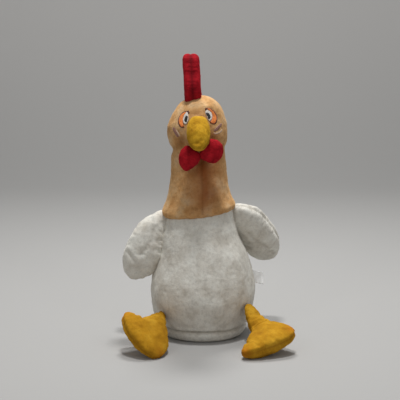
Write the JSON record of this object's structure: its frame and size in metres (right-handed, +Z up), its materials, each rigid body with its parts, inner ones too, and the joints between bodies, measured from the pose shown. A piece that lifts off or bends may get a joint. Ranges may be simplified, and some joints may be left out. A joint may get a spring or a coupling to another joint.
{
  "type": "stuffed chicken toy",
  "caption": "Seated stuffed chicken with a pear body, long neck, comb, wattles, drooping beak, stuffed wings and webbed feet on cloth hinges.",
  "frame": {"origin": "middle of the round base, on the surface that the chicken sits on", "axes": "+Z up, -Y the way the chicken faces, +X to the right of someone looking at its face"},
  "size_m": [0.1804, 0.1778, 0.3],
  "materials": {
    "white_plush": "matte",
    "tan_plush": "matte",
    "yellow_plush": "matte",
    "red_plush": "matte",
    "orange_thread": "matte",
    "white_thread": "matte",
    "black_thread": "matte",
    "mauve_thread": "matte",
    "filling": "matte",
    "pellets": "matte",
    "label_cloth": "matte"
  },
  "bodies": {
    "torso": {"body_front_panel": "white_plush", "body_back_left_panel": "white_plush", "body_back_right_panel": "white_plush", "bottom_panel": "white_plush", "body_stuffing": "filling", "pellet_bag": "pellets", "sewn_in_label": "label_cloth"},
    "neck": {"neck_left_panel": "tan_plush", "neck_right_panel": "tan_plush", "neck_stuffing": "filling"},
    "head": {"head_left_panel": "tan_plush", "head_right_panel": "tan_plush", "head_stuffing": "filling", "beak_cover": "yellow_plush", "beak_stuffing": "filling", "eye_left_orange": "orange_thread", "eye_left_white": "white_thread", "eye_left_black": "black_thread", "eye_right_orange": "orange_thread", "eye_right_white": "white_thread", "eye_right_black": "black_thread", "cheek_mark_left": "mauve_thread", "cheek_mark_right": "mauve_thread"},
    "comb": {"comb_left_panel": "red_plush", "comb_right_panel": "red_plush", "comb_stuffing": "filling"},
    "wattle_left": {"wattle_left_front_panel": "red_plush", "wattle_left_back_panel": "red_plush", "wattle_left_stuffing": "filling"},
    "wattle_right": {"wattle_right_front_panel": "red_plush", "wattle_right_back_panel": "red_plush", "wattle_right_stuffing": "filling"},
    "wing_left": {"wing_left_front_panel": "white_plush", "wing_left_back_panel": "white_plush", "wing_left_stuffing": "filling"},
    "wing_right": {"wing_right_front_panel": "white_plush", "wing_right_back_panel": "white_plush", "wing_right_stuffing": "filling"},
    "foot_left": {"foot_left_top_panel": "yellow_plush", "foot_left_sole_panel": "yellow_plush", "foot_left_stuffing": "filling"},
    "foot_right": {"foot_right_top_panel": "yellow_plush", "foot_right_sole_panel": "yellow_plush", "foot_right_stuffing": "filling"},
    "tail": {"tail_top_panel": "white_plush", "tail_under_panel": "white_plush", "tail_stuffing": "filling"}
  },
  "joints": [
    {"name": "neck_lean", "type": "hinge", "parent": "torso", "child": "neck", "pos_m": [-0.0015, 0, 0.138], "axis": [0, 1, 0], "range_deg": [-12, 12], "stiffness_Nm_per_rad": 0.6, "deforming": ["neck_left_panel", "neck_right_panel"]},
    {"name": "head_nod", "type": "hinge", "parent": "neck", "child": "head", "pos_m": [-0.00582, 0, 0.206], "axis": [1, 0, 0], "range_deg": [-15, 10], "stiffness_Nm_per_rad": 0.3},
    {"name": "comb_flop", "type": "hinge", "parent": "head", "child": "comb", "pos_m": [-0.0103, 0, 0.2565], "axis": [0, 1, 0], "range_deg": [-15, 15], "stiffness_Nm_per_rad": 0.02},
    {"name": "wattle_left_swing", "type": "hinge", "parent": "head", "child": "wattle_left", "pos_m": [-0.0155, -0.036, 0.2055], "axis": [-1, 0, 0], "range_deg": [0, 25], "stiffness_Nm_per_rad": 0.01},
    {"name": "wattle_right_swing", "type": "hinge", "parent": "head", "child": "wattle_right", "pos_m": [0.0095, -0.036, 0.2125], "axis": [-1, 0, 0], "range_deg": [0, 25], "stiffness_Nm_per_rad": 0.01},
    {"name": "wing_left_swing", "type": "hinge", "parent": "torso", "child": "wing_left", "pos_m": [-0.0466, -0.002, 0.122], "axis": [-1, 0, 0], "range_deg": [-45, 70], "stiffness_Nm_per_rad": 0.05},
    {"name": "wing_right_swing", "type": "hinge", "parent": "torso", "child": "wing_right", "pos_m": [0.0468, 0.002, 0.1285], "axis": [-1, 0, 0], "range_deg": [-15, 100], "stiffness_Nm_per_rad": 0.05},
    {"name": "foot_left_lift", "type": "hinge", "parent": "torso", "child": "foot_left", "pos_m": [-0.045, -0.0325, 0.02845], "axis": [-0.7675, 0.2089, 0.606], "range_deg": [0, 45], "stiffness_Nm_per_rad": 0.08},
    {"name": "foot_right_lift", "type": "hinge", "parent": "torso", "child": "foot_right", "pos_m": [0.046, -0.033, 0.02962], "axis": [-0.9498, -0.2276, -0.2145], "range_deg": [0, 45], "stiffness_Nm_per_rad": 0.08},
    {"name": "tail_lift", "type": "hinge", "parent": "torso", "child": "tail", "pos_m": [0, 0.0545, 0.049], "axis": [1, 0, 0], "range_deg": [-15, 15], "stiffness_Nm_per_rad": 0.02}
  ]
}
